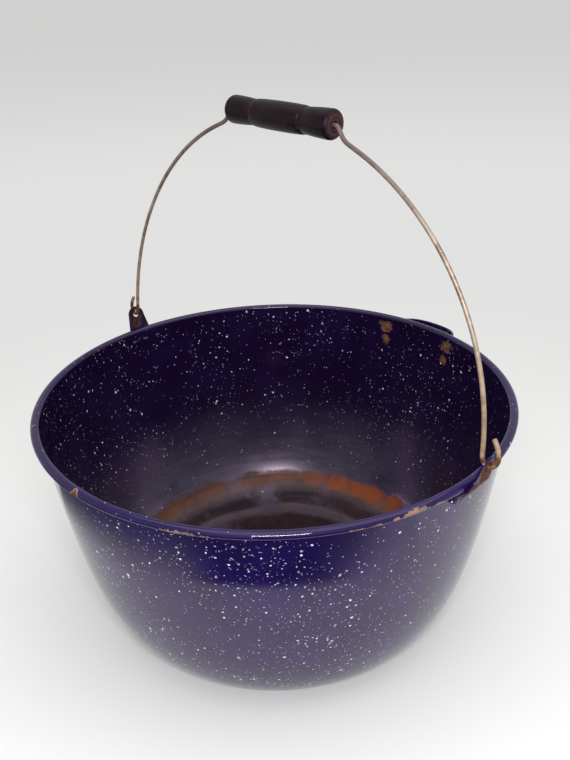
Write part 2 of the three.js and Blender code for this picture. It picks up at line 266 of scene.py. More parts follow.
def thicken(piece, thickness, edge_round):
    """Gives a sheet its thickness, half on each side, and rounds its edges."""
    solid = piece.modifiers.new("thickness", "SOLIDIFY")
    solid.thickness = thickness
    solid.offset = 0
    solid.use_even_offset = True
    bevel = piece.modifiers.new("edge", "BEVEL")
    bevel.width = edge_round
    bevel.segments = 3
    bevel.limit_method = "ANGLE"
    bevel.angle_limit = math.radians(50)
    bevel.harden_normals = False


# ---- Shader helpers ----


class Shading:
    """A material's node tree, with short ways to make and join its nodes."""

    def __init__(self, name):
        self.material = bpy.data.materials.new(name)
        self.material.use_nodes = True
        self.tree = self.material.node_tree
        self.tree.nodes.clear()
        self.output = self.tree.nodes.new("ShaderNodeOutputMaterial")
        self.surface = self.tree.nodes.new("ShaderNodeBsdfPrincipled")
        self.join(self.surface.outputs[0], self.output.inputs["Surface"])
        self.place = self.tree.nodes.new("ShaderNodeTexCoord").outputs["Object"]

    def join(self, source, socket):
        if isinstance(source, bpy.types.NodeSocket):
            self.tree.links.new(source, socket)
        else:
            socket.default_value = source

    def node(self, kind, values=(), **settings):
        """A new node with its settings, and its first inputs joined to some values."""
        node = self.tree.nodes.new(kind)
        for name, setting in settings.items():
            setattr(node, name, setting)
        for value, socket in zip(values, node.inputs):
            self.join(value, socket)
        return node

    def math(self, operation, *values):
        return self.node("ShaderNodeMath", values, operation=operation).outputs[0]

    def vector(self, operation, *values):
        gives_number = operation in ("DISTANCE", "LENGTH", "DOT_PRODUCT")
        node = self.node("ShaderNodeVectorMath", values, operation=operation)
        return node.outputs["Value" if gives_number else "Vector"]

    def times(self, first, *others):
        """The product of two or more values."""
        for other in others:
            first = self.math("MULTIPLY", first, other)
        return first

    def most(self, first, *others):
        """The greatest of two or more values."""
        for other in others:
            first = self.math("MAXIMUM", first, other)
        return first

    def split(self, vector):
        return tuple(self.node("ShaderNodeSeparateXYZ", [vector]).outputs)

    def combine(self, x, y, z):
        return self.node("ShaderNodeCombineXYZ", (x, y, z)).outputs[0]

    def noise(self, scale, detail, roughness=0.5, distortion=0.0, place=None):
        """A noise value from 0 to 1, mostly between 0.3 and 0.7."""
        node = self.node("ShaderNodeTexNoise", [place or self.place])
        for value, name in ((scale, "Scale"), (detail, "Detail"), (roughness, "Roughness"),
                            (distortion, "Distortion")):
            node.inputs[name].default_value = value
        return node.outputs["Fac"]

    def centred(self, noise, size):
        """A noise value spread over a size, as much below zero as above it."""
        return self.math("MULTIPLY_ADD", noise, size, -size / 2)

    def voronoi(self, vector, scale):
        node = self.node("ShaderNodeTexVoronoi", [vector])
        node.inputs["Scale"].default_value = scale
        return node.outputs["Distance"], node.outputs["Color"]

    def ramp(self, value, low, high, to_low=0.0, to_high=1.0):
        """A smooth step from low to high, either way round."""
        node = self.node("ShaderNodeMapRange", interpolation_type="SMOOTHSTEP")
        for source, name in ((value, "Value"), (low, "From Min"), (high, "From Max"),
                             (to_low, "To Min"), (to_high, "To Max")):
            self.join(source, node.inputs[name])
        return node.outputs["Result"]

    def patches(self, scale, detail, low, high, to_low=0.0, to_high=1.0, roughness=0.5):
        """Soft patches: a smooth step from low to high over noise of the object's own place."""
        return self.ramp(self.noise(scale, detail, roughness), low, high, to_low, to_high)

    def mix_node(self, data_type, socket_type, share, a, b):
        node = self.node("ShaderNodeMix", data_type=data_type)
        self.join(share, node.inputs["Factor"])
        for value, name in ((a, "A"), (b, "B")):
            self.join(value, next(s for s in node.inputs if s.name == name and s.type == socket_type))
        return next(s for s in node.outputs if s.type == socket_type)

    def mix(self, share, a, b):
        """A colour part of the way from a to b."""
        a, b = (c if isinstance(c, bpy.types.NodeSocket) else (*c, 1) for c in (a, b))
        return self.mix_node("RGBA", "RGBA", share, a, b)

    def blend(self, share, a, b):
        """A number part of the way from a to b."""
        return self.mix_node("FLOAT", "VALUE", share, a, b)

    def bump(self, height, strength, distance):
        node = self.node("ShaderNodeBump")
        for source, name in ((strength, "Strength"), (distance, "Distance"), (height, "Height")):
            self.join(source, node.inputs[name])
        self.join(node.outputs[0], self.surface.inputs["Normal"])

    def finish(self, colour, roughness, metallic=None, **constants):
        for source, name in ((colour, "Base Color"), (roughness, "Roughness"), (metallic, "Metallic")):
            if source is not None:
                self.join(source, self.surface.inputs[name])
        for name, value in constants.items():
            title = name.replace("_", " ").title().replace("Ior", "IOR")
            self.surface.inputs[title].default_value = value
        return self.material


# ---- Enamel ----

COBALT = (0.010, 0.0052, 0.058)
COBALT_DEEP = (0.007, 0.0036, 0.040)
INSIDE_COBALT = (0.0090, 0.0040, 0.0290)
INSIDE_DEEP = (0.0070, 0.0026, 0.0190)
GLAZE_TINT = (1.0, 0.78, 0.98, 1.0)
GLAZE_IOR = 1.60
SPECKLE_WHITE = (0.74, 0.72, 0.84)
# The lower inside wall's grey: scoured film and painted sheen.
SCOURED_GREY_AND_SHEEN = (0.064, 0.056, 0.082)
SCRATCH_WHITE = (0.42, 0.41, 0.45)
RUST_DARK = (0.024, 0.010, 0.007)
RUST_BROWN = (0.085, 0.032, 0.014)
RUST_ORANGE = (0.25, 0.070, 0.021)
FLOOR_RUST = (0.205, 0.050, 0.015)
FLOOR_BROWN = (0.040, 0.021, 0.016)
RIVET_RUST_DARK = (0.046, 0.025, 0.013)
RIVET_RUST_RED = (0.155, 0.055, 0.021)
GROUND_COAT = (0.27, 0.168, 0.118)
GROUND_COAT_GREY = (0.15, 0.095, 0.085)
RIM_ARC = 180 * MM
WORST_RUST_PLACE = (-24 * MM, 134 * MM, 18 * MM)


def speckles(shade, size_mm, cell_mm, share, place):
    """White drops of about one size, each a random cell's blob, with some cells left empty."""
    distance, colour = shade.voronoi(place, 1 / (cell_mm * MM))
    pick, size, _ = shade.split(colour)
    radius = shade.math("MULTIPLY_ADD", size, 0.5 * size_mm / cell_mm, 0.25 * size_mm / cell_mm)
    edge = 0.14 * size_mm / cell_mm
    inside = shade.ramp(shade.math("SUBTRACT", distance, radius), edge, -edge)
    return shade.times(inside, shade.math("LESS_THAN", pick, share))


def shaken_place(shade, scale, reach):
    """Places moved a little each way, so that round drops turn ragged."""
    wobble = shade.node("ShaderNodeTexNoise", [shade.place])
    wobble.inputs["Scale"].default_value = scale
    wobble.inputs["Detail"].default_value = 2
    centred = shade.vector("SUBTRACT", wobble.outputs["Color"], (0.5, 0.5, 0.5))
    return shade.vector("ADD", shade.place, shade.vector("MULTIPLY", centred, (reach, reach, reach)))


def enamel_speckled(shade, inside, sparse):
    """The glaze's colour and its white drops' mask. The inside's glaze is darker."""
    shaken = shaken_place(shade, 520, 1.3 * MM)
    crowd = shade.patches(13, 3, 0.36, 0.62, 0.25, 1.0)
    crowd = shade.times(crowd, shade.math("SUBTRACT", 1.0, sparse))
    fine = speckles(shade, 0.75, 2.2, shade.times(crowd, 0.85), shaken)
    middle = speckles(shade, 1.15, 4.2, shade.times(crowd, 0.72), shaken)
    large = speckles(shade, 1.8, 10.5, shade.times(crowd, 0.62), shaken)
    drops = shade.most(shade.times(fine, 0.5), middle, large)
    cloud = shade.patches(30, 3, 0.35, 0.68)
    outside_glaze = shade.mix(cloud, COBALT_DEEP, COBALT)
    inside_glaze = shade.mix(cloud, INSIDE_DEEP, INSIDE_COBALT)
    glaze = shade.mix(inside, outside_glaze, inside_glaze)
    strength = shade.patches(170, 1, 0.35, 0.6, 0.35, 1.0)
    return shade.mix(shade.times(drops, strength), glaze, SPECKLE_WHITE), drops


def rust_colour(shade, scale):
    """Rust in brown and orange patches with dark specks."""
    patches = shade.patches(scale, 4, 0.38, 0.68, roughness=0.65)
    specks = shade.patches(scale * 3.7, 3, 0.44, 0.64, roughness=0.6)
    return shade.mix(specks, shade.mix(patches, RUST_BROWN, RUST_ORANGE), RUST_DARK)


def from_axis(shade):
    """A place's distance from the kettle's axis."""
    x, y, _ = shade.split(shade.place)
    return shade.most(shade.vector("LENGTH", shade.combine(x, y, 0.0)), 0.001)


def ringed_noise(shade, radius, rings, turns):
    """Noise that runs in rings round the kettle's axis."""
    x, y, z = shade.split(shade.place)
    reach = shade.math("ADD", radius, shade.times(z, 1.5))
    place = shade.combine(
        shade.times(reach, rings),
        shade.times(shade.math("DIVIDE", x, radius), turns),
        shade.times(shade.math("DIVIDE", y, radius), turns))
    return shade.noise(1.0, 3, 0.55, place=place)


# Marks near the rim: angle round the kettle, height, radius, then half sizes along, up and out, in mm.
BARE_MARKS = [
    (-86.0, 190.2, 184.8, 3.6, 3.8, 3.8),
    (-1.5, 177.6, 178.0, 3.4, 2.2, 2.0),
    (127.0, 189.0, 184.6, 2.4, 1.6, 2.0),
    (157.0, 191.0, 184.6, 2.2, 1.6, 2.0),
    (-152.0, 187.6, 182.0, 4.0, 1.3, 2.4),
]
WORN_MARKS = [
    (-60.2, 188.1, 183.9, 25.0, 0.80, 2.2),
    (-60.5, 188.7, 184.1, 13.5, 1.90, 2.6),
    (-63.0, 183.6, 178.7, 9.0, 0.60, 1.2),
    (-28.2, 188.9, 184.2, 4.6, 1.35, 2.2),
    (-24.2, 188.7, 184.2, 4.0, 1.35, 2.2),
    (-20.4, 189.8, 184.6, 2.2, 1.5, 1.8),
    (-16.4, 189.3, 184.4, 9.4, 2.9, 3.4),
    (-10.6, 189.6, 184.6, 4.8, 0.8, 1.8),
    (-156.0, 187.9, 183.4, 9.0, 1.0, 2.0),
    (-118.0, 188.0, 183.8, 3.0, 1.0, 1.6),
    (66.0, 190.0, 185.0, 1.8, 1.0, 2.0),
]
# Short scratches low on the inside wall, in the same form.
SCRATCHES = [
    (101.0, 56.5, 159.5, 0.45, 5.2, 4.0),
    (102.6, 55.0, 159.0, 0.40, 3.2, 4.0),
    (171.0, 62.0, 161.0, 0.50, 6.5, 4.0),
    (173.4, 66.7, 162.0, 0.40, 5.0, 4.0),
    (178.0, 72.0, 163.0, 0.45, 7.0, 4.0),
    (128.0, 88.0, 165.0, 3.4, 0.35, 4.0),
]
# Rust that creeps from under the tipping handle's rivets, seen inside.
RIVET_RUST = [
    (76.2, 184.8, 177.0, 7.4, 2.8, 3.4),
    (76.6, 181.0, 176.6, 6.0, 4.2, 3.4),
    (76.8, 169.8, 174.6, 4.6, 4.8, 3.4),
    (99.8, 184.8, 177.0, 7.4, 2.8, 3.4),
    (99.4, 181.2, 176.6, 6.0, 4.4, 3.4),
    (99.2, 170.2, 174.6, 4.4, 4.8, 3.4),
]


def mark_place(shade, radius):
    """A place as (mm along the rim, mm up, mm out), with its seam at the left ear."""
    x, y, z = shade.split(shade.place)
    turned = shade.combine(shade.math("ARCTAN2", y, x), z, radius)
    return shade.vector("MULTIPLY", turned, (RIM_ARC / MM, 1 / MM, 1 / MM))


def nearest_mark(shade, place, marks):
    """How far a place is from the nearest mark's centre, as a share of that mark's size."""
    nearest = None
    for angle, up, out, half_length, half_height, half_depth in marks:
        centre = (math.radians(angle) * RIM_ARC / MM, up, out)
        away = shade.vector("SUBTRACT", place, centre)
        share = shade.vector("LENGTH", shade.vector("DIVIDE", away, (half_length, half_height, half_depth)))
        nearest = share if nearest is None else shade.math("MINIMUM", nearest, share)
    return nearest


def inner_wear(shade, colour, rough, inside, radius):
    """The lower wall inside has a streaky grey film, partly scoured enamel and partly a painted sheen, and a
    few short scratches.
    """
    _, _, z = shade.split(shade.place)
    lower = shade.times(shade.ramp(z, 106 * MM, 34 * MM), inside)
    streaked = shade.ramp(ringed_noise(shade, radius, 120.0, 3.0), 0.34, 0.66, 0.78, 1.0)
    uneven = shade.times(shade.patches(14, 3, 0.3, 0.7, 0.6, 1.0), streaked)
    # Painted sheen: the grey is made stronger on the inner wall that faces the front lamp.
    sheen_side = shade.vector("DOT_PRODUCT", shade.place, (-0.87, 0.5, 0.0))
    scour_and_sheen = shade.times(lower, uneven, shade.ramp(sheen_side, -10 * MM, 130 * MM, 0.30, 1.0))
    colour = shade.mix(shade.times(scour_and_sheen, 0.85), colour, SCOURED_GREY_AND_SHEEN)
    rough = shade.blend(scour_and_sheen, rough, 0.38)
    bend = shade.centred(shade.noise(45, 1), 5.0)
    place = shade.vector("ADD", mark_place(shade, radius), shade.combine(bend, 0.0, 0.0))
    scratch = shade.ramp(nearest_mark(shade, place, SCRATCHES), 1.1, 0.5)
    return shade.mix(shade.times(scratch, inside, 0.40), colour, SCRATCH_WHITE), rough


# Colours across the floor, by distance from its middle in mm: scale, then rust at the corner's foot. The
# near-black middle is partly painted shade.
FLOOR_BANDS_AND_SHADE = [
    (0, (0.017, 0.009, 0.009)),
    (90, (0.016, 0.009, 0.010)),
    (98, (0.060, 0.043, 0.053)),
    (106, (0.080, 0.058, 0.070)),
    (112, (0.018, 0.011, 0.015)),
    (121, (0.007, 0.004, 0.007)),
    (126, (0.050, 0.034, 0.040)),
    (131, (0.090, 0.058, 0.055)),
    (135, (0.115, 0.047, 0.026)),
    (139, (0.095, 0.038, 0.023)),
    (144, (0.035, 0.025, 0.030)),
]


def banded(shade, value, top, bands):
    """A colour for a value from 0 to a top one, run smoothly between the bands' own."""
    node = shade.node("ShaderNodeValToRGB", [shade.math("DIVIDE", value, top)])
    stops = node.color_ramp.elements
    while len(stops) > 1:
        stops.remove(stops[-1])
    stops[0].position = bands[0][0] / top
    stops[0].color = (*bands[0][1], 1)
    for at, colour in bands[1:]:
        stops.new(at / top).color = (*colour, 1)
    return node.outputs["Color"]


def corner_rust(shade, radius, worst):
    """Bright rust in a broken ring round the floor, on the side where it is worst."""
    ring = shade.times(shade.ramp(radius, 128 * MM, 133 * MM), shade.ramp(radius, 147 * MM, 141 * MM))
    return shade.times(worst, shade.patches(60, 4, 0.36, 0.56, roughness=0.6), ring)


def floor_scale_and_shade(shade, colour, rough, inside, radius):
    """Burnt scale and rust on the floor, in broken rings up to a ragged line on the corner; its near-black
    middle is partly painted shade.
    """
    _, _, z = shade.split(shade.place)
    ragged = shade.centred(shade.noise(48, 4, 0.6), 14 * MM)
    stained = shade.times(shade.ramp(shade.math("ADD", z, ragged), 24 * MM, 19 * MM), inside)
    rings = ringed_noise(shade, radius, 190.0, 2.4)
    drift = shade.centred(shade.noise(15, 3), 16.0)
    reach = shade.math("MULTIPLY_ADD", radius, 1 / MM, drift)
    # The bands' near-black middle is partly painted shade.
    scale = banded(shade, shade.math("ADD", reach, shade.centred(rings, 9.0)), 150, FLOOR_BANDS_AND_SHADE)
    scale = shade.mix(shade.patches(55, 4, 0.45, 0.66, 0.0, 0.45, 0.6), scale, FLOOR_BROWN)
    worst = shade.ramp(shade.vector("DISTANCE", shade.place, WORST_RUST_PLACE), 82 * MM, 22 * MM)
    scale = shade.mix(corner_rust(shade, radius, worst), scale, FLOOR_RUST)
    still_blue = shade.patches(26, 4, 0.52, 0.66, 1.0, 0.4, 0.6)
    stained = shade.times(stained, shade.most(still_blue, worst))
    rough = shade.blend(stained, rough, shade.ramp(rings, 0.35, 0.65, 0.36, 0.55))
    return shade.mix(stained, colour, scale), rough, stained


def rim_damage(shade, colour, rough, inside, radius):
    """Worn, chipped and rusted places: dull ground coat round bare steel."""
    place = mark_place(shade, radius)
    shake = shade.centred(shade.noise(330, 4, 0.65), 1.7)
    worn_gap, bare_gap, creep_gap = (shade.math("ADD", nearest_mark(shade, place, marks), shake)
                                     for marks in (WORN_MARKS, BARE_MARKS, RIVET_RUST))
    worn = shade.ramp(worn_gap, 1.10, 0.85)
    coat = shade.mix(shade.patches(240, 4, 0.40, 0.62), GROUND_COAT, GROUND_COAT_GREY)
    colour = shade.mix(shade.times(worn, 0.9), colour, coat)
    bare = shade.ramp(bare_gap, 1.08, 0.92)
    core = shade.ramp(bare_gap, 0.85, 0.70)
    colour = shade.mix(bare, colour, shade.mix(core, GROUND_COAT, rust_colour(shade, 330)))
    creep = shade.times(shade.ramp(creep_gap, 1.15, 0.75), inside)
    dull = shade.mix(shade.patches(210, 3, 0.36, 0.62), RIVET_RUST_DARK, RIVET_RUST_RED)
    colour = shade.mix(shade.times(creep, 0.9), colour, dull)
    damage = shade.most(worn, bare, creep)
    return colour, shade.blend(damage, rough, 0.75), damage


def shell_relief(shade, drops, damage, stained):
    """Enamel is a little wavy; the drops stand proud, the chips lie low and the rust is crusty."""
    waves = shade.noise(70, 2)
    height = shade.math("MULTIPLY_ADD", drops, 0.05, shade.times(waves, 0.10))
    height = shade.math("SUBTRACT", height, shade.times(damage, 0.4))
    crusty = shade.most(damage, shade.times(stained, 0.35))
    crust = shade.times(shade.noise(600, 4, 0.7), crusty, 0.5)
    return shade.math("ADD", height, crust)


def shell_enamel():
    """The kettle's own enamel: speckled, chipped at the rim, and rusted and scoured on its floor."""
    shade = Shading("kettle_enamel")
    radius = from_axis(shade)
    inside = shade.math("LESS_THAN", radius, sheet_middle_radius(shade))
    _, _, z = shade.split(shade.place)
    bead = shade.ramp(z, RIM_Z - 3.2 * MM, RIM_Z - 2 * MM)
    sparse = shade.most(shade.times(inside, 0.5), shade.times(bead, 0.8))
    colour, drops = enamel_speckled(shade, inside, sparse)
    rough = shade.blend(bead, shade.patches(22, 3, 0.3, 0.7, 0.07, 0.14), 0.06)
    colour, rough = inner_wear(shade, colour, rough, inside, radius)
    colour, rough, stained = floor_scale_and_shade(shade, colour, rough, inside, radius)
    colour, rough, damage = rim_damage(shade, colour, rough, inside, radius)
    shade.bump(shell_relief(shade, drops, damage, stained), 0.5, 0.4 * MM)
    gloss = shade.blend(stained, shade.blend(bead, 0.5, 0.36), 0.14)
    shade.join(gloss, shade.surface.inputs["Specular IOR Level"])
    return shade.finish(colour, rough, ior=GLAZE_IOR, specular_tint=GLAZE_TINT)


def sheet_middle_radius(shade):
    """The radius of the middle of the kettle's sheet at a place's height."""
    _, _, z = shade.split(shade.place)
    node = shade.tree.nodes.new("ShaderNodeFloatCurve")
    curve = node.mapping.curves[0]
    samples = [wall_point(i / 14) - wall_normal(i / 14) * SHEET / 2 for i in range(15)]
    curve.points[0].location = (0, BASE_RADIUS / RIM_RADIUS)
    curve.points[1].location = (1, samples[-1].x / RIM_RADIUS)
    for p in samples[1:-1]:
        curve.points.new(max(p.y, 0) / RIM_Z, p.x / RIM_RADIUS)
    node.mapping.update()
    shade.join(shade.math("DIVIDE", z, RIM_Z), node.inputs["Value"])
    # On the flat floor the top face counts as the inside, whatever its radius.
    on_floor = shade.math("GREATER_THAN", z, SHEET / 2)
    return shade.times(node.outputs[0], RIM_RADIUS, on_floor)


def fitting_finish(shade, colour, drops, worn, rust, rough, gloss):
    """Enamel on a fitting with rust showing where it is worn: colour, gloss and relief."""
    waves = shade.times(shade.noise(160, 2), 0.2)
    height = shade.math("MULTIPLY_ADD", drops, 0.08, waves)
    height = shade.math("SUBTRACT", height, shade.times(worn, 0.4))
    crust = shade.times(shade.noise(1100, 4, 0.7), 0.45)
    height = shade.math("ADD", height, shade.times(worn, crust))
    shade.bump(height, 0.6, 0.4 * MM)
    return shade.finish(shade.mix(worn, colour, rust), shade.blend(worn, rough, 0.78),
                        ior=GLAZE_IOR, specular_tint=GLAZE_TINT, specular_ior_level=gloss)


def fitting_enamel(name, rust_share):
    """The enamel on the handle and the rivets, worn through to rust in places."""
    shade = Shading(name)
    colour, drops = enamel_speckled(shade, 0.7, 0.5)
    edge = 0.66 - 0.3 * rust_share
    worn = shade.patches(150, 4, edge, edge + 0.04, roughness=0.6)
    return fitting_finish(shade, colour, drops, worn, rust_colour(shade, 420), 0.14, 0.5)


# Rust on an ear: place across it and up the kettle, and size in mm.
EAR_RUST = [
    (0, PIVOT_Z - 1.4 * MM, 6.2),
    (-7.6 * MM, RIM_Z - 1.5 * MM, 5.4),
    (-14 * MM, RIM_Z - 11 * MM, 4.0),
    (13 * MM, RIM_Z - 6 * MM, 3.0),
    (2 * MM, RIM_Z + 5 * MM, 6.0),
    (-1 * MM, RIM_Z - 4 * MM, 3.2),
]
LEFT_EAR_RUST_DARK = (0.020, 0.009, 0.009)
LEFT_EAR_RUST_BROWN = (0.062, 0.026, 0.017)


def ear_enamel(name, side):
    """Ear enamel, rusted round the hole and in patches; the left ear's rust is darker."""
    shade = Shading(name)
    colour, drops = enamel_speckled(shade, 0.4, 0.4)
    nearest = None
    for across, up, size in EAR_RUST:
        gap = shade.vector("DISTANCE", shade.place, (side * PIVOT_X, side * across, up))
        gap = shade.times(gap, 1 / (size * MM))
        nearest = gap if nearest is None else shade.math("MINIMUM", nearest, gap)
    shake = shade.centred(shade.noise(260, 4, 0.65), 1.8)
    worn = shade.ramp(shade.math("ADD", nearest, shake), 1.15, 0.95)
    if side > 0:
        rust = rust_colour(shade, 420)
    else:
        rust = shade.mix(shade.patches(260, 4, 0.38, 0.62), LEFT_EAR_RUST_DARK, LEFT_EAR_RUST_BROWN)
    return fitting_finish(shade, colour, drops, worn, rust, 0.30, 0.12)


def rivet_rust():
    """The handle rivets' bare tails: scaly red-brown rust."""
    shade = Shading("rivet_rust")
    patches = shade.patches(520, 4, 0.38, 0.64, roughness=0.65)
    colour = shade.mix(patches, (0.060, 0.028, 0.012), (0.175, 0.058, 0.021))
    height = shade.noise(900, 5, 0.7)
    shade.bump(height, 0.7, 0.4 * MM)
    return shade.finish(colour, shade.ramp(height, 0.3, 0.7, 0.65, 0.9), ior=1.45)


# ---- Wire and wood ----

STEEL_BROWN = (0.205, 0.150, 0.128)
STEEL_PALE = (0.40, 0.315, 0.255)
STEEL_WORN = (0.55, 0.46, 0.37)
STEEL_TAN_DARK = (0.200, 0.125, 0.062)
STEEL_TAN = (0.345, 0.240, 0.140)
STEEL_SHADE = (0.080, 0.048, 0.050)

STAIN_DEEP = (0.0036, 0.0014, 0.0028)
STAIN = (0.0092, 0.0037, 0.0060)
STAIN_RUBBED = (0.0180, 0.0080, 0.0095)
STAIN_PORE = (0.0045, 0.0025, 0.0035)
WORN_ARRIS = (0.075, 0.036, 0.030)
END_GRAIN_DARK = (0.015, 0.007, 0.008)
END_GRAIN = (0.032, 0.015, 0.015)
END_GRAIN_BARE = (0.068, 0.033, 0.032)


def wire_steel():
    """Old drawn wire: tan low down, dark brown by the grip as painted shade, and a little orange rust at the
    hooks.
    """
    shade = Shading("bail_steel")
    _, _, z = shade.split(shade.place)
    mottle = shade.noise(240, 5, 0.65)
    mottled = shade.ramp(mottle, 0.36, 0.64)
    long_wear = shade.noise(1.0, 3, place=shade.vector("MULTIPLY", shade.place, (60.0, 60.0, 30.0)))
    skin = shade.mix(mottled, STEEL_BROWN, STEEL_PALE)
    skin = shade.mix(shade.ramp(long_wear, 0.45, 0.62, 0.0, 0.6), skin, STEEL_WORN)
    tan = shade.ramp(z, 300 * MM, 225 * MM, 0.15, 0.85)
    skin = shade.mix(tan, skin, shade.mix(mottled, STEEL_TAN_DARK, STEEL_TAN))
    # Painted shade: the wire is darkened towards the grip.
    high = shade.ramp(z, 320 * MM, 385 * MM)
    skin = shade.mix(shade.times(high, 0.85), skin, STEEL_SHADE)
    low = shade.ramp(z, 228 * MM, 206 * MM)
    rust_edge = shade.math("MULTIPLY_ADD", low, 0.32, shade.noise(130, 4, 0.6))
    rusty = shade.ramp(rust_edge, 0.66, 0.80)
    colour = shade.mix(rusty, skin, rust_colour(shade, 480))
    metallic = shade.ramp(shade.most(rusty, tan, high), 0.0, 1.0, 0.55, 0.05)
    rough = shade.math("MULTIPLY_ADD", rusty, 0.35, shade.ramp(mottle, 0.35, 0.65, 0.36, 0.52))
    height = shade.math("MULTIPLY_ADD", rusty, 0.25, shade.noise(1400, 4, 0.7))
    shade.bump(height, 0.35, 0.3 * MM)
    return shade.finish(colour, rough, metallic)


def grip_place(shade):
    """A place in the grip's own frame: along its length, and across it twice."""
    centre = grip_centre()
    slope = math.radians(ARCH_SLOPE)
    local = shade.vector("SUBTRACT", shade.place, (centre.x, centre.y, centre.z))
    along = shade.vector("DOT_PRODUCT", local, (math.cos(slope), 0.0, -math.sin(slope)))
    _, y, _ = shade.split(local)
    across = shade.vector("DOT_PRODUCT", local, (math.sin(slope), 0.0, math.cos(slope)))
    return along, y, across


def grip_stain(shade, along, grain, pores):
    """The near-black stain, browner where hands have rubbed it and on the two steps' arrises."""
    stain = shade.mix(shade.ramp(grain, 0.34, 0.66), STAIN_DEEP, STAIN)
    stain = shade.mix(shade.patches(90, 4, 0.52, 0.70, 0.0, 0.55, 0.6), stain, STAIN_RUBBED)
    stain = shade.mix(shade.times(pores, 0.7), stain, STAIN_PORE)
    step = shade.math("ABSOLUTE", shade.math("SUBTRACT", shade.math("ABSOLUTE", along), GRIP_STEP_X))
    step = shade.times(shade.ramp(step, 1.1 * MM, 0.2 * MM), shade.patches(260, 4, 0.50, 0.66, 0.0, 0.4))
    return shade.mix(step, stain, WORN_ARRIS)


def grip_end_grain(shade, y, across):
    """The flat ends have lost some of their stain, most in a ring and next to the wire."""
    out = shade.vector("LENGTH", shade.combine(0.0, y, across))
    ring = shade.ramp(shade.math("ABSOLUTE", shade.math("SUBTRACT", out, 6.1 * MM)), 1.3 * MM, 0.3 * MM)
    bare = shade.times(shade.most(ring, shade.ramp(out, 4.6 * MM, 2.4 * MM)), 0.6)
    year_place = shade.combine(shade.times(y, 600.0), shade.times(across, 300.0), 0.0)
    years = shade.ramp(shade.noise(1.0, 2, 0.4, place=year_place), 0.36, 0.64)
    return shade.mix(bare, shade.mix(years, END_GRAIN_DARK, END_GRAIN), END_GRAIN_BARE)


def grip_wood():
    """Turned wood under a near-black stain: long grain, turning rings, and brown where it has worn."""
    shade = Shading("grip_stained_wood")
    along, y, across = grip_place(shade)
    grain_place = shade.combine(shade.times(along, 14.0), shade.times(y, 420.0), shade.times(across, 420.0))
    grain = shade.noise(1.0, 4, 0.6, 0.3, grain_place)
    pore_place = shade.vector("MULTIPLY", grain_place, (3.0, 2.6, 2.6))
    pores = shade.ramp(shade.noise(1.0, 3, place=pore_place), 0.56, 0.66)
    end = shade.ramp(shade.math("ABSOLUTE", along), GRIP_HALF_LENGTH - 1.6 * MM, GRIP_HALF_LENGTH - 0.1 * MM)
    colour = shade.mix(end, grip_stain(shade, along, grain, pores), grip_end_grain(shade, y, across))
    rough = shade.math("MULTIPLY_ADD", pores, 0.2, shade.ramp(grain, 0.3, 0.7, 0.30, 0.42))
    rings = shade.noise(1.0, 2, place=shade.combine(shade.times(along, 1500.0), 0.0, 0.0))
    height = shade.math("SUBTRACT", shade.times(grain, 0.4), shade.times(pores, 0.5))
    shade.bump(shade.math("MULTIPLY_ADD", rings, 0.25, height), 0.3, 0.4 * MM)
    return shade.finish(colour, shade.blend(end, rough, 0.6), ior=1.5, specular_ior_level=0.15,
                        specular_tint=GLAZE_TINT)


# ---- Pieces of the kettle ----


def kettle_shell(material):
    """The bowl with its flat base and its rim rolled outwards into an open curl."""
    wall_steps = 64
    ts = [i / wall_steps for i in range(wall_steps + 1)]
    outer = [wall_point(t) for t in ts]
    inner = [wall_point(t) - wall_normal(t) * SHEET for t in ts]
    roll_inside = ellipse_arc(ROLL_CENTRE, ROLL_HALF_WIDTH - SHEET, ROLL_HALF_HEIGHT - SHEET,
                              180, ROLL_LIP_ANGLE, 20)
    roll_outside = ellipse_arc(ROLL_CENTRE, ROLL_HALF_WIDTH, ROLL_HALF_HEIGHT, ROLL_LIP_ANGLE, 180, 40)
    floor_rings = [i / 8 for i in range(1, 8)]
    base = [Vector((BASE_RADIUS * share, 0)) for share in floor_rings]
    floor = [Vector((BASE_RADIUS * share, SHEET)) for share in reversed(floor_rings)]
    profile = [Vector((0, 0)), *base, *outer[:-1], *roll_inside, *roll_outside,
               *reversed(inner[:-1]), *floor, Vector((0, SHEET))]
    vertices, faces = revolve(profile, KETTLE_SIDES, False)
    return make_piece("speckled_bowl", vertices, faces, material, nodes=["kettle_shell"], smooth_angle=50)


def ear_section():
    """The ear's middle line in (radius, height): up the wall, out under the roll, round it and up."""
    foot_top = RIM_Z - 5.7 * MM
    low = EAR_FOOT_LOW_Z - 1 * MM
    turns = [
        Vector((wall_radius_at(low) + PLATE_REST, low)),
        Vector((wall_radius_at(foot_top) + PLATE_REST, foot_top)),
        Vector((181.5 * MM, RIM_Z - 4.4 * MM)),
        Vector((184.6 * MM, RIM_Z - 3.5 * MM)),
        Vector((186.9 * MM, RIM_Z - 1.2 * MM)),
        Vector((188.1 * MM, RIM_Z + 3.5 * MM)),
        Vector((PIVOT_X, PIVOT_Z)),
        Vector((PIVOT_X + 1.8 * MM, EAR_TOP_Z + 2 * MM)),
    ]
    return smooth_path(turns, 24, 0.5)


def rounded_corner(corner, before, after, radius, steps=6):
    """An arc that stands for a corner between two straight edges."""
    one = (before - corner).normalized()
    two = (after - corner).normalized()
    half = one.angle(two) / 2
    reach = min(radius / math.tan(half), (before - corner).length, (after - corner).length)
    centre = corner + (one + two).normalized() * (reach / math.cos(half))
    start = corner + one * reach - centre
    end = corner + two * reach - centre
    return [centre + (start * (1 - t) + end * t).normalized() * start.length
            for t in (i / steps for i in range(steps + 1))]


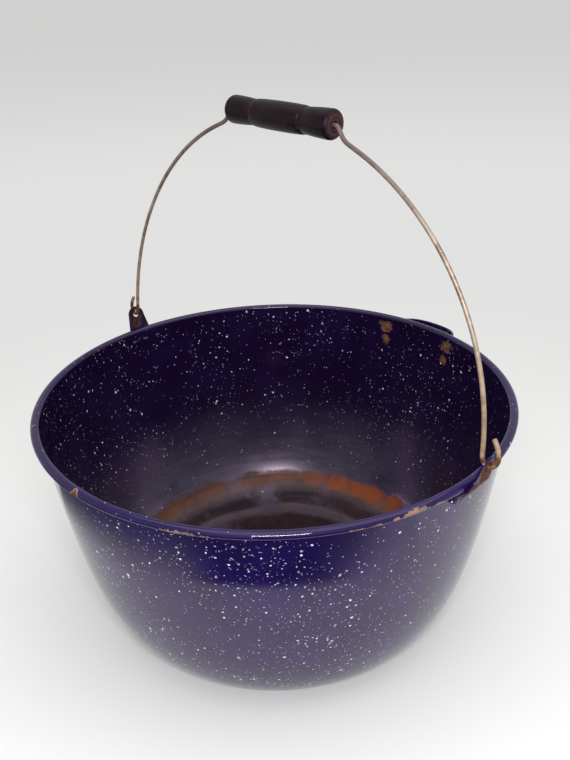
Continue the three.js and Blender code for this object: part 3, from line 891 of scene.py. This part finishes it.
def ear_outline():
    """The plate seen along X, in (Y, Z): a foot with round ends under a tab with a round top."""
    round_radius = EAR_TAB_HALF_WIDTH
    round_z = EAR_TOP_Z - round_radius
    end_radius = (EAR_FOOT_HIGH_Z - EAR_FOOT_LOW_Z) / 2
    end_centre = (EAR_FOOT_HALF_LENGTH - end_radius, EAR_FOOT_LOW_Z + end_radius)
    shoulder = Vector((EAR_ROOT_HALF_WIDTH, EAR_FOOT_HIGH_Z))
    above = shoulder + Vector((0, 3 * MM))
    beside = shoulder + Vector((3 * MM, 0))
    half = [
        *ellipse_arc(end_centre, end_radius, end_radius, -90, 90, 16),
        *reversed(rounded_corner(shoulder, above, beside, 1.2 * MM)),
        Vector((EAR_ROOT_HALF_WIDTH, RIM_Z)),
        *ellipse_arc((0, round_z), round_radius, round_radius, 0, 90, 18),
    ]
    return [*half, *mirrored(half)[1:]]


def unrolled(edge, heights, run):
    """A plate's edge with its heights turned into distances along the plate's section."""
    return [Vector((p.x, float(np.interp(p.y, heights, run)))) for p in edge]


def ear_plate(name, node, side, material):
    """One ear, cut from the curved section that hugs the wall and steps out round the roll."""
    section = evenly_spaced(ear_section(), 400)
    heights = [p.y for p in section]
    radii = [p.x for p in section]
    run = np.cumsum([0] + [(b - a).length for a, b in zip(section, section[1:])])
    outline = unrolled(ear_outline(), heights, run)
    hole = ellipse_arc((0, PIVOT_Z), EAR_HOLE_RADIUS, EAR_HOLE_RADIUS, 0, 350, 35)
    flat, faces = flat_plate(outline, unrolled(hole, heights, run), 1.1 * MM, 0.45 * MM)
    vertices = []
    for p in flat:
        radius = float(np.interp(p.y, run, radii))
        height = float(np.interp(p.y, run, heights))
        vertices.append((side * math.sqrt(radius**2 - p.x**2), side * p.x, height))
    piece = make_piece(name, vertices, faces, material, nodes=[node])
    thicken(piece, STRAP - SHEET_CLEARANCE, STRAP_EDGE_ROUND)
    return piece


def flat_plate(outline, hole, step, margin):
    """A flat plate with a hole, filled with points of a square grid that keep a margin from its edges."""
    columns = math.ceil(max(p.x for p in outline) / step)
    low = min(p.y for p in outline)
    rows = int((max(p.y for p in outline) - low) / step) + 1
    grid = [Vector((j * step, low + i * step)) for i in range(rows) for j in range(-columns, columns + 1)]
    grid = [p for p in grid if within(p, outline, margin) and not within(p, hole, -margin)]
    edges = closed_loop(0, len(outline)) + closed_loop(len(outline), len(hole))
    flat, _, faces, *_ = delaunay_2d_cdt([*outline, *hole, *grid], edges, [], 1, 1e-9)
    kept = []
    for face in faces:
        middle = sum((flat[k] for k in face), Vector((0, 0))) / len(face)
        if within(middle, outline, 0) and not within(middle, hole, 0):
            kept.append(list(face))
    return flat, kept


def closed_loop(first, count):
    """The edges of a closed loop of numbered points."""
    return [(first + k, first + (k + 1) % count) for k in range(count)]


def within(spot, polygon, margin):
    """Whether a point is inside a polygon by at least a margin, which may be negative."""
    crossings = 0
    nearest = 1.0
    for a, b in zip(polygon, polygon[1:] + polygon[:1]):
        if (a.y > spot.y) != (b.y > spot.y):
            if spot.x < a.x + (spot.y - a.y) * (b.x - a.x) / (b.y - a.y):
                crossings += 1
        edge = b - a
        share = min(max((spot - a).dot(edge) / max(edge.length_squared, 1e-18), 0), 1)
        nearest = min(nearest, (a + edge * share - spot).length)
    inside = crossings % 2 == 1
    return (nearest if inside else -nearest) > margin


def strap_row(z):
    """The handle strap's middle line at a height, from one foot's end to the other, seen from above."""
    wall = wall_radius_at(z) + PLATE_REST
    leg_root = wall_radius_at(HANDLE_HIGH.z)
    start, end = math.asin(HANDLE_FOOT_OUTER / wall), math.asin((HANDLE_LEG_X + 2.6 * MM) / wall)
    foot_angles = [start + (end - start) * i / 8 for i in range(9)]
    foot = [Vector((wall * math.sin(a), wall * math.cos(a))) for a in foot_angles]
    loop = [
        Vector((29.8 * MM, leg_root + 7 * MM)),
        Vector((27.6 * MM, leg_root + 14.5 * MM)),
        Vector((20.5 * MM, HANDLE_REACH - 3.3 * MM)),
        Vector((10.5 * MM, HANDLE_REACH - 0.6 * MM)),
    ]
    bend = [
        Vector((HANDLE_LEG_X + 0.75 * MM, wall * 0.986 + 0.9 * MM)),
        Vector((HANDLE_LEG_X, wall * 0.986 + 2.9 * MM)),
    ]
    half = [*foot, *bend, *loop]
    whole = [*half, Vector((0, HANDLE_REACH)), *mirrored(half)]
    turn = Matrix.Rotation(math.radians(HANDLE_TURN), 2)
    return [turn @ p for p in evenly_spaced(smooth_path(whole, 10), 181)]


def tipping_strap(material):
    """The D-shaped strap handle, one sheet from foot to foot, with round corners on the feet."""
    levels = 17
    low, high = HANDLE_LOW.z, HANDLE_HIGH.z
    rows = []
    for level in range(levels):
        share = level / (levels - 1)
        flat = strap_row(low + (high - low) * share)
        step = sum((b - a).length for a, b in zip(flat, flat[1:])) / (len(flat) - 1)
        row = []
        for i, p in enumerate(flat):
            into_corner = max(HANDLE_CORNER - min(i, len(flat) - 1 - i) * step, 0)
            cut = HANDLE_CORNER - math.sqrt(HANDLE_CORNER**2 - into_corner**2)
            row.append(Vector((p.x, p.y, low + cut + (high - low - 2 * cut) * share)))
        rows.append(row)
    vertices, faces = grid_sheet(rows)
    piece = make_piece("tipping_strap", vertices, faces, material, nodes=["tipping_handle"])
    thicken(piece, STRAP - SHEET_CLEARANCE, STRAP_EDGE_ROUND)
    return piece


def rivet(name, node, angle, z, head_material, tail_material):
    """A domed head on the plate, a shank through plate and wall, and a low hammered tail inside."""
    place = wall_point(wall_t_at(z))
    normal = wall_normal(wall_t_at(z))
    round_axis = Matrix.Rotation(math.radians(angle), 3, "Z")
    outwards = round_axis @ Vector((normal.x, 0, normal.y))
    centre = round_axis @ Vector((place.x, 0, place.y))
    head_seat = PLATE_GAP + STRAP - 0.05 * MM
    head_top = 2 * PLATE_GAP + STRAP + 0.1 * MM + RIVET_HEAD_HEIGHT
    tail_seat = -SHEET + 0.05 * MM
    tail_low = -SHEET - PLATE_GAP - RIVET_TAIL_HEIGHT
    profile = [
        *ellipse_arc((0, tail_seat), RIVET_HEAD_RADIUS, tail_seat - tail_low, -90, 0, 8),
        Vector((SHANK_RADIUS, tail_seat)),
        Vector((SHANK_RADIUS, head_seat)),
        *ellipse_arc((0, head_seat), RIVET_HEAD_RADIUS, head_top - head_seat, 0, 90, 10),
    ]
    vertices, faces = revolve(profile, RIVET_SIDES, False)
    turn = Vector((0, 0, 1)).rotation_difference(outwards)
    placed = [turn @ Vector(v) + centre for v in vertices]
    piece = make_piece(name, placed, faces, head_material, nodes=[node], smooth_angle=60)
    piece.data.materials.append(tail_material)
    for face in piece.data.polygons:
        middle = sum((piece.data.vertices[k].co for k in face.vertices), Vector()) / len(face.vertices)
        face.material_index = int((middle - centre).dot(outwards) < 0)
    return piece


# ---- Bail and grip ----


def bail_frame():
    """The bail's own place: its pivot line at the ears' holes, leaning towards the handle."""
    return Matrix.Translation((0, 0, PIVOT_Z)) @ Matrix.Rotation(-math.radians(BAIL_LEAN), 4, "X")


def grip_centre():
    return bail_frame() @ Vector((ARCH_SHIFT, 0, GRIP_HEIGHT))


def in_mm(points):
    return [Vector((x * MM, z * MM)) for x, z in points]


def half_wire(hook_scale):
    """Half of the wire's middle line, in X and height above the pivots, from hook tip to grip."""
    hook = in_mm([(2.4, 19.5), (5.6, 14), (7, 8.5), (6, 3.8), (3.2, 0.8)])
    hook = [Vector((PIVOT_X, 0)) + hook_scale * p for p in hook]
    through_ear = in_mm([(191, 0), (188.6, 1.3), (187.1, 4.5)])
    arch = ellipse_arc((0, 0), ARCH_HALF_WIDTH, ARCH_HEIGHT, 3.5, 69, 22)
    kink = in_mm([(60.6, 180), (57.4, 182.2), (55, 185.2), (52.9, 188), (50.6, 189.6), (47.5, 190)])
    return [*hook, *through_ear, *arch, *kink, *in_mm([(38, 190), (15, 190)])]


def out_of_true(p):
    """Where the hand-bent arch has a point of the true arch."""
    share = max(p.y / GRIP_HEIGHT, 0) ** 2
    return Vector((p.x + ARCH_SHIFT * share, p.y - math.tan(math.radians(ARCH_SLOPE)) * p.x * share))


def wire_rings(path):
    """(centre, direction, share of the full radius) along the wire, which rounds off at each tip."""
    ways = [(path[min(i + 1, len(path) - 1)] - path[max(i - 1, 0)]).normalized() for i in range(len(path))]
    rings = [(p, way, 1.0) for p, way in zip(path, ways)]
    tip_steps = 5
    for k in range(1, tip_steps):
        angle = math.radians(90 * k / tip_steps)
        reach = 0.4 * WIRE_RADIUS * math.sin(angle)
        size = 0.55 + 0.45 * math.cos(angle)
        rings.insert(0, (path[0] - ways[0] * reach, ways[0], size))
        rings.append((path[-1] + ways[-1] * reach, ways[-1], size))
    return rings


def bail_wire(material):
    """One length of wire with a round section and rounded tips."""
    whole = [out_of_true(p) for p in [*half_wire(1), *mirrored(half_wire(LEFT_HOOK_SCALE))]]
    rings = wire_rings(evenly_spaced(smooth_path(whole, 12), 620))
    place = bail_frame()
    vertices, faces = [], []
    for centre, way, size in rings:
        across = Vector((-way.y, way.x))
        for k in range(WIRE_SIDES):
            angle = math.tau * k / WIRE_SIDES
            flat = centre + across * (WIRE_RADIUS * size * math.cos(angle))
            vertices.append(place @ Vector((flat.x, WIRE_RADIUS * size * math.sin(angle), flat.y)))
    for first in range(0, (len(rings) - 1) * WIRE_SIDES, WIRE_SIDES):
        for k in range(WIRE_SIDES):
            a, b = first + k, first + (k + 1) % WIRE_SIDES
            faces.append([a, b, b + WIRE_SIDES, a + WIRE_SIDES])
    faces.append(list(range(WIRE_SIDES)))
    faces.append(list(range(len(vertices) - WIRE_SIDES, len(vertices))))
    return make_piece("bail", vertices, faces, material, "bail", ["bail_wire"], 50)


def half_grip():
    """The grip's turned outline on one side, in (distance along, radius), from middle to end face."""
    barrel = ellipse_arc((0, GRIP_BARREL_END_RADIUS), GRIP_STEP_X - 0.25 * MM,
                         GRIP_BARREL_RADIUS - GRIP_BARREL_END_RADIUS, 90, 4, 26)
    arris = [Vector((GRIP_STEP_X - 0.08 * MM, GRIP_BARREL_END_RADIUS - 0.05 * MM)),
             Vector((GRIP_STEP_X + 0.05 * MM, GRIP_BARREL_END_RADIUS - 0.18 * MM))]
    start = GRIP_STEP_X + GRIP_STEP_LENGTH
    end = GRIP_HALF_LENGTH - GRIP_EDGE_ROUND
    flare = sine_rise(start, end, GRIP_NECK_RADIUS, GRIP_FLARE_RADIUS, 22)
    face_radius = GRIP_FLARE_RADIUS - GRIP_EDGE_ROUND
    edge = ellipse_arc((end, face_radius), GRIP_EDGE_ROUND, GRIP_EDGE_ROUND, 90, 0, 14)
    face = [Vector((GRIP_HALF_LENGTH, GRIP_BORE_RADIUS + share * (face_radius - GRIP_BORE_RADIUS)))
            for share in (0.75, 0.5, 0.25)]
    mouth = [Vector((GRIP_HALF_LENGTH, GRIP_BORE_RADIUS + 0.5 * MM)),
             Vector((GRIP_HALF_LENGTH - 0.15 * MM, GRIP_BORE_RADIUS + 0.15 * MM)),
             Vector((GRIP_HALF_LENGTH - 0.5 * MM, GRIP_BORE_RADIUS))]
    return [*barrel, *arris, *flare, *edge, *face, *mouth]


def sine_rise(start, end, low, high, steps):
    """A quarter-sine rise from low to high between two places, without its last point."""
    shares = [i / steps for i in range(steps)]
    return [Vector((start + (end - start) * t, low + (high - low) * math.sin(t * math.pi / 2)))
            for t in shares]


def turned_grip(material):
    """The wooden grip on its wire, bored through."""
    half = half_grip()
    outline = [*mirrored(half)[:-1], *half]
    profile = [(p.y, p.x) for p in outline]
    vertices, faces = revolve(profile, GRIP_SIDES, True)
    lay = Matrix.Rotation(math.radians(90 + ARCH_SLOPE), 4, "Y")
    place = bail_frame() @ Matrix.Translation((ARCH_SHIFT, 0, GRIP_HEIGHT)) @ lay
    placed = [place @ Vector(v) for v in vertices]
    return make_piece("turned_grip", placed, faces, material, "grip", ["grip"], 35)


# ---- Studio ----

ROOM_GREY = (0.63, 0.63, 0.625)
PAPER_GLOW = (0.755, 0.755, 0.750)
CAMERA_PLACE = (0.38798, -0.35217, 0.45889)
CAMERA_TARGET = (0.005898, 0.006287, 0.198174)
CAMERA_ROLL = -1.782


def stage_sheet(name, corners, faces, material):
    """A flat sheet of the studio."""
    mesh = bpy.data.meshes.new(name)
    mesh.from_pydata(corners, [], faces)
    mesh.materials.append(material)
    sheet = add_object(name, mesh)
    return sheet


def floor_paper():
    """Matt off-white paper that fades, away from the kettle, into the room's own light."""
    shade = Shading("floor_paper")
    tint = shade.mix(shade.noise(3, 2), (0.775, 0.775, 0.77), (0.80, 0.80, 0.795))
    material = shade.finish(tint, 0.85, specular_ior_level=0.2)
    away = shade.vector("LENGTH", shade.place)
    glow = shade.tree.nodes.new("ShaderNodeEmission")
    nearness = shade.math("DIVIDE", 1.0, shade.math("MAXIMUM", away, 0.5))
    shade.join(shade.mix(shade.ramp(nearness, 0.0, 0.55), ROOM_GREY, PAPER_GLOW), glow.inputs["Color"])
    fade = shade.tree.nodes.new("ShaderNodeMixShader")
    shade.join(shade.ramp(away, 0.22, 0.95), fade.inputs[0])
    shade.join(shade.surface.outputs[0], fade.inputs[1])
    shade.join(glow.outputs[0], fade.inputs[2])
    shade.join(fade.outputs[0], shade.output.inputs["Surface"])
    return material


def painted_reflection_flag():
    """A fan of dark card on the floor in front that only reflections see, as the unlit side of the room: a
    painted dark reflection on the enamel.
    """
    shade = Shading("painted_reflection_card")
    x, y, _ = shade.split(shade.place)
    away = shade.vector("LENGTH", shade.place)
    turn = shade.math("ARCTAN2", y, x)
    cloth = shade.mix(shade.noise(5, 2), (0.012, 0.010, 0.015), (0.017, 0.014, 0.021))
    # Painted reflection: the card is grey near the kettle and on one side and near-black in the middle of
    # the fan, which sets how dark the enamel's reflection is.
    sides = shade.ramp(turn, math.radians(-22), math.radians(6), 0.13, 0.60)
    grey = shade.ramp(away, 0.245, 0.325, 0.74, sides)
    grey = shade.mix(grey, (0.0, 0.0, 0.0), (1.0, 1.0, 1.0))
    dark = shade.times(shade.ramp(turn, math.radians(-82), math.radians(-62)),
                       shade.ramp(turn, math.radians(-6), math.radians(-34)),
                       shade.ramp(away, 0.264, 0.272))
    angles = [math.radians(-150 + 4 * i) for i in range(41)]
    rows = [[(radius * math.cos(a), radius * math.sin(a), 2 * MM) for a in angles]
            for radius in (0.245, 1.4)]
    material = shade.finish(shade.mix(dark, grey, cloth), 1.0, specular_ior_level=0.0)
    flag = stage_sheet("painted_reflection_flag", *grid_sheet(rows), material)
    for ray in ("camera", "diffuse", "transmission", "volume_scatter", "shadow"):
        setattr(flag, "visible_" + ray, False)


def aim(thing, place, target, roll=0):
    """Puts a lamp or a camera at a place and turns it to a target, with its roll in degrees."""
    thing.location = place
    thing.rotation_mode = "QUATERNION"
    facing = (Vector(target) - Vector(place)).to_track_quat("-Z", "Y")
    thing.rotation_quaternion = facing @ Quaternion((0, 0, 1), math.radians(roll))


def area_light(name, place, target, size, watts):
    """A rectangular soft light, which the camera itself doesn't see."""
    light = bpy.data.lights.new(name, "AREA")
    light.shape = "RECTANGLE"
    light.size, light.size_y = size
    light.energy = watts
    lamp = add_object(name, light)
    aim(lamp, place, target)
    lamp.visible_camera = False


def studio():
    """A pale room: even light from all round, a big soft light overhead and a narrow one by the camera."""
    world = bpy.data.worlds.new("studio")
    bpy.context.scene.world = world
    world.use_nodes = True
    background = world.node_tree.nodes["Background"]
    background.inputs["Color"].default_value = (*ROOM_GREY, 1)
    background.inputs["Strength"].default_value = 1.0
    half = 12.0
    below = SHELL_LOW.z - 0.2 * MM
    corners = [(-half, -half, below), (half, -half, below), (half, half, below), (-half, half, below)]
    stage_sheet("studio_floor", corners, [[0, 1, 2, 3]], floor_paper())
    # A card that paints a dark reflection on the enamel.
    painted_reflection_flag()
    area_light("overhead", (0.1, 0.2, 2.4), (0, 0, 0.1), (2.6, 2.6), 27)
    area_light("front", (0.47, -0.42, 0.60), (0, 0, 0.12), (0.25, 0.045), 3.9)


def camera():
    """The camera at the photograph's viewing angle, aimed just off the kettle's axis at the rim's height."""
    lens = bpy.data.cameras.new("camera")
    lens.sensor_width = 36
    lens.lens = 35.39
    lens.clip_start = 0.01
    eye = add_object("camera", lens)
    aim(eye, CAMERA_PLACE, CAMERA_TARGET, CAMERA_ROLL)
    bpy.context.scene.camera = eye


# ---- Everything together ----


def build():
    bpy.context.scene.view_settings.view_transform = "Standard"
    kettle_shell(shell_enamel())
    rust = rivet_rust()
    rivet_enamel = fitting_enamel("rivet_enamel", 0.5)
    ear_tails = fitting_enamel("rivet_tail_enamel", -0.2)
    for side, word in ((1, "right"), (-1, "left")):
        ear_plate(f"{word}_ear", f"ear_{word}", side, ear_enamel(f"{word}_ear_enamel", side))
        middle = 0 if side > 0 else 180
        for i, turn in enumerate((-EAR_RIVET_ANGLE, 0, EAR_RIVET_ANGLE)):
            rivet(f"{word}_ear_fixing_{i + 1}", f"ear_{word}_rivet_{i + 1}", middle + turn, EAR_RIVET_Z,
                  rivet_enamel, ear_tails)
    tipping_strap(fitting_enamel("strap_enamel", 0.1))
    seats = [(90 + HANDLE_TURN + turn, z) for turn in (-HANDLE_RIVET_ANGLE, HANDLE_RIVET_ANGLE)
             for z in HANDLE_RIVET_ZS]
    for i, (angle, z) in enumerate(seats):
        rivet(f"tipping_strap_fixing_{i + 1}", f"tipping_handle_rivet_{i + 1}", angle, z, rivet_enamel, rust)
    bail_wire(wire_steel())
    turned_grip(grip_wood())
    studio()
    camera()


build()
